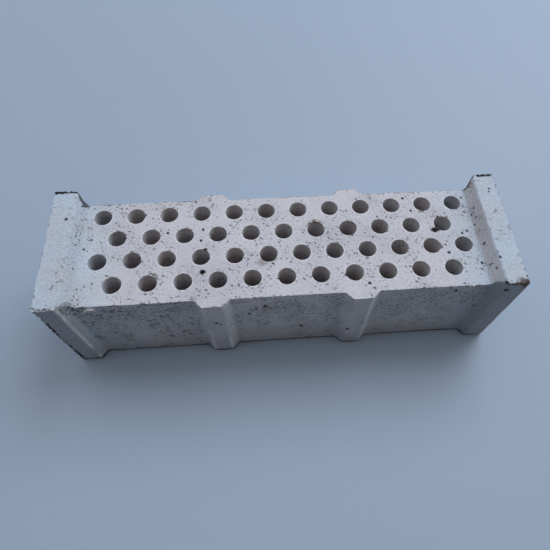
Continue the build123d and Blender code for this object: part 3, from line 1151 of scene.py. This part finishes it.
# Painted shade in the hollows of the pores, also laid in the drag lines of the holes
PORE_SHADE = (0.06, 0.058, 0.057, 1.0)
# Lining colour that stands for the shade down the holes
BORE_SHADE_TINT = (0.47, 0.415, 0.40, 1.0)
BORE_IN_COOL_LIGHT = (0.36, 0.385, 0.45, 1.0)
BORE_BROWN = (0.44, 0.30, 0.23, 1.0)
# Colour of the soot and of the painted shade in pits, gaps, slope ends and at the foot
SOOT_AND_SHADE_DARK = (0.016, 0.013, 0.011, 1.0)
RUST_BROWN = (0.175, 0.098, 0.047, 1.0)
FLOOR_PALE = (0.355, 0.44, 0.515, 1.0)

# How much of what lies under it each layer of the finish covers
FULL_COVER = 1.0
SAND_COVER = 0.5
GREYED_COVER = 0.55
HIGHLIGHT_AND_RUB_COVER = 0.85
BORE_SHADE_COVER = 0.9
DRAG_COVER = 0.6
FINE_COVER = 0.42
PORE_COVER = 0.92
RUST_COVER = 0.85
SOOT_AND_SHADE_COVER = 1.04

# Painted contact shadow, a dark line at the near foot: height, softness, where it starts across the brick,
# run, clouds and strength
FOOT_SHADE = 2.2
FOOT_FADE = 0.7
FOOT_FROM = 17.0
FOOT_RUN = 12.0
FOOT_CLOUDS = 5.0
FOOT_SHADE_STRENGTH = 0.85

# Marks drawn out in plan on the cut top and the pressed sides: how far they stray, angle and stretch
CUT = (2.6, math.radians(-38), 2.0)
PRESSED = (2.2, 0.0, 1.6)
DASHED = (2.2, 0.0, 3.4)
SHAKE_SIZE = 2.4
SHAKE_DETAIL = 2.0

# Pores: cell in millimetres, share of the cells, and radius and soft edge in shares of the cell
FINE_PORES = (0.62, 0.7, 0.5, 0.25)
CUT_PORES = (1.1, 0.4, 0.45, 0.12)
DASHES = (1.0, 0.3, 0.5, 0.1)
DOTS = (1.05, 0.36, 0.5, 0.11)
ROUND_PORES = (2.1, 0.09, 0.24, 0.08)
SHALLOWEST = 0.4

# Where the pores lie: size, gain and level of their clusters, how the dashes fall off to the right, and the
# share of the cut pores that the sides lose
CLUSTER = (11.0, 1.5, -0.75)
DASH_RUN = 60.0
DASH_LEAST = 0.3
CUT_LOST = 0.7

# Patches of soft noise: size in millimetres, detail, gain and level; and the detail where none is given
PLAIN_DETAIL = 3.0
CLOUDS = (22.0, 4.0, 2.4, -0.95)
SAND = (0.75, 2.0, 4.0, -1.75)
DRAG = (0.9, 3.0, 4.0, -1.8)
BROWN = (14.0, 3.0, 4.0, -1.9)
DRAG_SHRINK = (0.12, 0.12, 1.0)

# Relief as bump, in shares of its depth in millimetres, and gloss
GRAIN_SIZE = 0.8
GRAIN_DETAIL = 2.0
RIPPLE_SIZE = 0.9
RIPPLE_DETAIL = 3.0
RIPPLE_TWIST = 0.6
FINE_RELIEF = -0.35
PORE_RELIEF = -0.8
RIPPLE_RELIEF = 2.4
GRAIN_RELIEF = 0.2
BUMP_DEPTH = 0.5
BUMP_STRENGTH = 0.8
ROUGHNESS = 0.75
ROUGHNESS_GRAIN = 0.2
SPECULAR = 0.3


def feed(tree, socket, value):
    """Sets a node's input to a value, or links it to a socket."""
    if isinstance(value, bpy.types.NodeSocket):
        tree.links.new(value, socket)
    else:
        socket.default_value = value


def add_node(tree, kind, settings=None, **inputs):
    """A shader node with its settings, and its inputs set to a value or linked to a socket."""
    node = tree.nodes.new(kind)
    for name, value in (settings or {}).items():
        setattr(node, name, value)
    for name, value in inputs.items():
        feed(tree, node.inputs[name.replace("_", " ")], value)
    return node


def calc(tree, operation, *values, clamp=False):
    """Result of a Math node on values or sockets."""
    node = add_node(tree, "ShaderNodeMath", {"operation": operation, "use_clamp": clamp})
    for socket, value in zip(node.inputs, values):
        feed(tree, socket, value)
    return node.outputs[0]


# Sockets of a Mix node that works on colours: its share, the colour under, the colour over, and the result
MIX_SHARE, MIX_UNDER, MIX_OVER, MIX_RESULT = 0, 6, 7, 2


def layered(tree, colour, layers):
    """Colour with layers laid over it in turn: each is a mask, how much it covers and its own colour."""
    for mask, cover, over in layers:
        node = add_node(tree, "ShaderNodeMix", {"data_type": "RGBA"})
        feed(tree, node.inputs[MIX_SHARE], calc(tree, "MULTIPLY", mask, cover))
        feed(tree, node.inputs[MIX_UNDER], colour)
        feed(tree, node.inputs[MIX_OVER], over)
        colour = node.outputs[MIX_RESULT]
    return colour


def cloudy(tree, place, size, detail=PLAIN_DETAIL, twist=0.0):
    """Soft noise from 0 to 1 with clouds of a size in millimetres."""
    scale = 1 / (size * MM)
    node = add_node(tree, "ShaderNodeTexNoise", Vector=place, Scale=scale, Detail=detail, Distortion=twist)
    return node.outputs[0]


def patches(tree, place, size, detail, gain, level):
    """Patches from 0 to 1: soft noise times a gain plus a level, held between the two."""
    return calc(tree, "MULTIPLY_ADD", cloudy(tree, place, size, detail), gain, level, clamp=True)


def pores(tree, place, cell, share, radius, soft, cluster):
    """Mask of open pores: in a share of the cells of a Voronoi pattern, more where the cluster noise is high,
    a spot about the cell's own point with a random radius, a random depth and a soft edge, the radius and
    edge in shares of the cell."""
    cells = add_node(tree, "ShaderNodeTexVoronoi", Vector=place, Scale=1 / (cell * MM))
    chance = add_node(tree, "ShaderNodeSeparateColor", Color=cells.outputs["Color"])
    pick = calc(tree, "ADD", chance.outputs[0], cluster)
    deep = calc(tree, "MULTIPLY_ADD", chance.outputs[1], 1 - SHALLOWEST, SHALLOWEST)
    grown = calc(tree, "MULTIPLY_ADD", pick, 1 / share, 1 - 1 / share, clamp=True)
    grown = calc(tree, "MULTIPLY", calc(tree, "SQRT", grown), radius)
    inside = calc(tree, "SUBTRACT", grown, cells.outputs["Distance"])
    return calc(tree, "MULTIPLY", calc(tree, "DIVIDE", inside, soft, clamp=True), deep)


def drawn_out(tree, place, stray, angle, stretch):
    """Coordinates for marks drawn out along a direction in plan: shaken by noise, turned, and shrunk along
    it."""
    scale = 1 / (SHAKE_SIZE * MM)
    clouds = add_node(tree, "ShaderNodeTexNoise", Vector=place, Scale=scale, Detail=SHAKE_DETAIL)
    colour = clouds.outputs["Color"]
    shake = add_node(tree, "ShaderNodeVectorMath", {"operation": "SCALE"}, Vector=colour, Scale=stray * MM)
    shaken = add_node(tree, "ShaderNodeVectorMath", {"operation": "ADD"})
    feed(tree, shaken.inputs[0], place)
    feed(tree, shaken.inputs[1], shake.outputs[0])
    return add_node(
        tree, "ShaderNodeMapping", {"vector_type": "TEXTURE"},
        Vector=shaken.outputs[0], Rotation=(0, 0, angle), Scale=(stretch, 1, 1),
    ).outputs[0]


def foot_shade(tree, place, across, up):
    """Mask of the painted contact shadow along the near foot: full below a ragged height, with a soft edge,
    and rising towards the near side."""
    height = calc(tree, "MULTIPLY_ADD", cloudy(tree, place, FOOT_CLOUDS), FOOT_SHADE * MM, FOOT_SHADE / 2 * MM)
    below = calc(tree, "DIVIDE", calc(tree, "SUBTRACT", height, up), FOOT_FADE * MM, clamp=True)
    near = calc(tree, "MULTIPLY_ADD", across, -1 / (FOOT_RUN * MM), -FOOT_FROM / FOOT_RUN, clamp=True)
    return calc(tree, "MULTIPLY", below, near)


def fired_ceramic():
    """Fired porous ceramic: a pale body with soft grey clouds and a sandy grain; fine and open pores, drawn
    out along the cut on the top, and along the brick on its sides, with dashes towards the left, painted dark
    as the shade in their hollows; a brown lining dragged round the bores, laid on as painted shade that
    deepens down them; a painted contact shadow at the near foot; and the marks that the piece carries as
    attributes."""
    material = bpy.data.materials.new(SLOT)
    material.use_nodes = True
    tree = material.node_tree
    shade = tree.nodes["Principled BSDF"]
    place = add_node(tree, "ShaderNodeTexCoord").outputs["Object"]
    along, across, up = add_node(tree, "ShaderNodeSeparateXYZ", Vector=place).outputs
    soot_and_shade, rust, bore, opened, highlight_and_rub, greyed, flank, cool_light = (
        add_node(tree, "ShaderNodeAttribute", {"attribute_name": mark}).outputs["Fac"] for mark in MARKS
    )

    size, gain, level = CLUSTER
    cluster = calc(tree, "MULTIPLY_ADD", cloudy(tree, place, size), gain, calc(tree, "ADD", opened, level))
    cut, pressed, dashed = (drawn_out(tree, place, *marks) for marks in (CUT, PRESSED, DASHED))
    fine = pores(tree, cut, *FINE_PORES, cluster)
    kept = calc(tree, "MULTIPLY_ADD", flank, -CUT_LOST, 1.0)
    cut_pores = calc(tree, "MULTIPLY", pores(tree, cut, *CUT_PORES, cluster), kept)
    leftwards = calc(tree, "MULTIPLY_ADD", along, -1 / (DASH_RUN * MM), DASH_LEAST, clamp=True)
    leftwards = calc(tree, "MAXIMUM", leftwards, DASH_LEAST)
    dashes = calc(tree, "MULTIPLY", pores(tree, dashed, *DASHES, cluster), leftwards)
    torn_pores = calc(tree, "MAXIMUM", dashes, pores(tree, pressed, *DOTS, cluster))
    open_pores = calc(tree, "MAXIMUM", calc(tree, "MULTIPLY", torn_pores, flank), cut_pores)
    open_pores = calc(tree, "MAXIMUM", open_pores, pores(tree, place, *ROUND_PORES, cluster))

    round_bore = add_node(tree, "ShaderNodeMapping", Vector=place, Scale=DRAG_SHRINK).outputs[0]
    # Lining of the holes, laid on as painted shade that deepens down them, with brown patches and drag lines
    shaded_lining = layered(tree, BORE_SHADE_TINT, (
        # Painted bluish light in the holes towards the ends
        (cool_light, FULL_COVER, BORE_IN_COOL_LIGHT),
        (patches(tree, place, *BROWN), FULL_COVER, BORE_BROWN),
        (patches(tree, round_bore, *DRAG), DRAG_COVER, PORE_SHADE),
    ))
    # Painted contact shadow along the near foot
    foot = calc(tree, "MULTIPLY", foot_shade(tree, place, across, up), FOOT_SHADE_STRENGTH)
    body = layered(tree, CERAMIC_PALE, (
        # Painted bluish light towards the ends
        (cool_light, FULL_COVER, CERAMIC_IN_COOL_LIGHT),
        (patches(tree, place, *CLOUDS), FULL_COVER, CERAMIC_GREY),
        (patches(tree, place, *SAND), SAND_COVER, CERAMIC_SAND),
        # Darker grey on the flanges, the outer bays and towards the foot
        (greyed, GREYED_COVER, CERAMIC_GREYED),
        # Painted highlights on crests, rims, burrs and two slopes, with pale rubbing on the skyline
        (highlight_and_rub, HIGHLIGHT_AND_RUB_COVER, CERAMIC_HIGHLIGHT_AND_RUB),
        # Painted shade down the holes, in the lining's colour
        (bore, BORE_SHADE_COVER, shaded_lining),
        # Pores painted dark as the shade in their hollows
        (fine, FINE_COVER, PORE_SHADE),
        (open_pores, PORE_COVER, PORE_SHADE),
        (rust, RUST_COVER, RUST_BROWN),
        # Soot, with painted shade in pits, gaps, slope ends and at the foot
        (calc(tree, "MAXIMUM", soot_and_shade, foot), SOOT_AND_SHADE_COVER, SOOT_AND_SHADE_DARK),
    ))
    feed(tree, shade.inputs["Base Color"], body)

    grain = cloudy(tree, place, GRAIN_SIZE, GRAIN_DETAIL)
    ripple = calc(tree, "MULTIPLY", cloudy(tree, pressed, RIPPLE_SIZE, RIPPLE_DETAIL, RIPPLE_TWIST), flank)
    height = calc(tree, "MULTIPLY", open_pores, PORE_RELIEF)
    for relief, share in ((fine, FINE_RELIEF), (ripple, RIPPLE_RELIEF), (grain, GRAIN_RELIEF)):
        height = calc(tree, "MULTIPLY_ADD", relief, share, height)
    bump = add_node(tree, "ShaderNodeBump", Strength=BUMP_STRENGTH, Distance=BUMP_DEPTH * MM, Height=height)
    feed(tree, shade.inputs["Normal"], bump.outputs[0])
    rough = calc(tree, "MULTIPLY_ADD", grain, ROUGHNESS_GRAIN, ROUGHNESS)
    feed(tree, shade.inputs["Roughness"], rough)
    shade.inputs["Specular IOR Level"].default_value = SPECULAR
    return material


# Angle between two triangles above which the edge between them is drawn sharp
SHARP_ANGLE = math.radians(38)


def add_brick():
    """The brick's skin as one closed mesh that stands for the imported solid."""
    points, triangles, marks = worn_skin()
    mesh = bpy.data.meshes.new("honeycomb_brick_skin")
    mesh.from_pydata(points * MM, (), triangles)
    mesh.shade_smooth()
    mesh.set_sharp_from_angle(angle=SHARP_ANGLE)
    for name, values in marks.items():
        mesh.attributes.new(name, "FLOAT", "POINT").data.foreach_set("value", values.astype(np.float32))
    mesh.materials.append(fired_ceramic())
    brick = bpy.data.objects.new("honeycomb_brick_skin", mesh)
    bpy.context.scene.collection.objects.link(brick)
    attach(brick, "root")
    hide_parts(NODE)


# Floor: half its side in metres, its gap under the brick in millimetres, and its roughness
FLOOR_REACH = 4.0
FLOOR_DROP = 0.1
FLOOR_ROUGHNESS = 0.6


def add_floor():
    """Level floor just under the brick: one large square of a plain, pale, matt colour."""
    reach = FLOOR_REACH
    corners = ((-reach, -reach), (reach, -reach), (reach, reach), (-reach, reach))
    mesh = bpy.data.meshes.new("floor")
    mesh.from_pydata([(x, y, -FLOOR_DROP * MM) for x, y in corners], (), ((0, 1, 2, 3),))
    material = bpy.data.materials.new("floor_pale")
    material.use_nodes = True
    shade = material.node_tree.nodes["Principled BSDF"]
    shade.inputs["Base Color"].default_value = FLOOR_PALE
    shade.inputs["Roughness"].default_value = FLOOR_ROUGHNESS
    mesh.materials.append(material)
    floor = bpy.data.objects.new("floor", mesh)
    bpy.context.scene.collection.objects.link(floor)


# Lamps: place in metres, side in metres, watts and colour
KEY = ((0.85, 0.85, 1.40), 1.2, 18.0, (0.935, 1.0, 1.17))
OVERHEAD = ((-0.42, 0.45, 1.5), 2.2, 12.7, (0.93, 1.0, 1.18))
FILL = ((2.2, -0.4, 1.0), 1.6, 6.4, (0.97, 1.0, 1.06))

# Faint sky that lights the scene, and the backdrop that is seen in its place
SKY_COLOUR = (1.34, 1.02, 0.92, 1.0)
SKY_LEVEL = 0.07
BACKDROP = (0.50, 0.58, 0.68, 1.0)


def add_lamp(name, place, across, watts, colour):
    """A square soft lamp that faces the middle of the brick."""
    data = bpy.data.lights.new(name, "AREA")
    data.size = across
    data.energy = watts
    data.color = colour
    lamp = bpy.data.objects.new(name, data)
    back = np.array(place) - np.array((0.0, 0.0, HEIGHT / 2 * MM))
    back /= np.linalg.norm(back)
    right = np.cross((0.0, 1.0, 0.0), back)
    right /= np.linalg.norm(right)
    lamp.matrix_world = frame_matrix(right, np.cross(back, right), back, place)
    bpy.context.scene.collection.objects.link(lamp)


def frame_matrix(right, up, back, place):
    """Matrix of an object with the given axes and place."""
    matrix = np.eye(4)
    matrix[:3, 0], matrix[:3, 1], matrix[:3, 2], matrix[:3, 3] = right, up, back, place
    return Matrix(matrix.tolist())


def add_light():
    """A soft key lamp from behind on the right, a broad overhead lamp, a weak fill lamp far off on the right,
    and a faint even sky, with a pale backdrop wherever the sky is seen, mirrored or looked through to."""
    add_lamp("key_lamp", *KEY)
    add_lamp("overhead_lamp", *OVERHEAD)
    add_lamp("fill_lamp", *FILL)
    world = bpy.data.worlds.new("studio")
    bpy.context.scene.world = world
    world.use_nodes = True
    tree = world.node_tree
    sky = tree.nodes["Background"]
    sky.inputs["Color"].default_value = SKY_COLOUR
    sky.inputs["Strength"].default_value = SKY_LEVEL
    backdrop = add_node(tree, "ShaderNodeBackground", Color=BACKDROP, Strength=1.0)
    path = add_node(tree, "ShaderNodeLightPath").outputs
    mirrored = calc(tree, "MAXIMUM", path["Is Glossy Ray"], path["Is Transmission Ray"])
    seen = calc(tree, "MAXIMUM", path["Is Camera Ray"], mirrored)
    both = add_node(tree, "ShaderNodeMixShader", Fac=seen)
    tree.links.new(sky.outputs[0], both.inputs[1])
    tree.links.new(backdrop.outputs[0], both.inputs[2])
    tree.links.new(both.outputs[0], tree.nodes["World Output"].inputs["Surface"])


# Camera's sensor in millimetres, and the nearest that it sees in metres
SENSOR = 36.0
NEAREST = 0.01


def add_camera():
    """The photograph's camera: its focal length in shares of the frame, and its centre as a shift."""
    data = bpy.data.cameras.new("camera")
    data.sensor_width = SENSOR
    data.lens = FOCAL / PHOTO_SIDE * SENSOR
    data.shift_x = (PHOTO_SIDE / 2 - PHOTO_CENTRE[0]) / PHOTO_SIDE
    data.shift_y = (PHOTO_CENTRE[1] - PHOTO_SIDE / 2) / PHOTO_SIDE
    data.clip_start = NEAREST
    camera = bpy.data.objects.new("camera", data)
    right, up, forward = camera_axes()
    camera.matrix_world = frame_matrix(right, up, -forward, CAMERA_PLACE * MM)
    bpy.context.scene.collection.objects.link(camera)
    bpy.context.scene.camera = camera


add_brick()
add_floor()
add_light()
add_camera()
bpy.context.scene.view_settings.view_transform = "Standard"
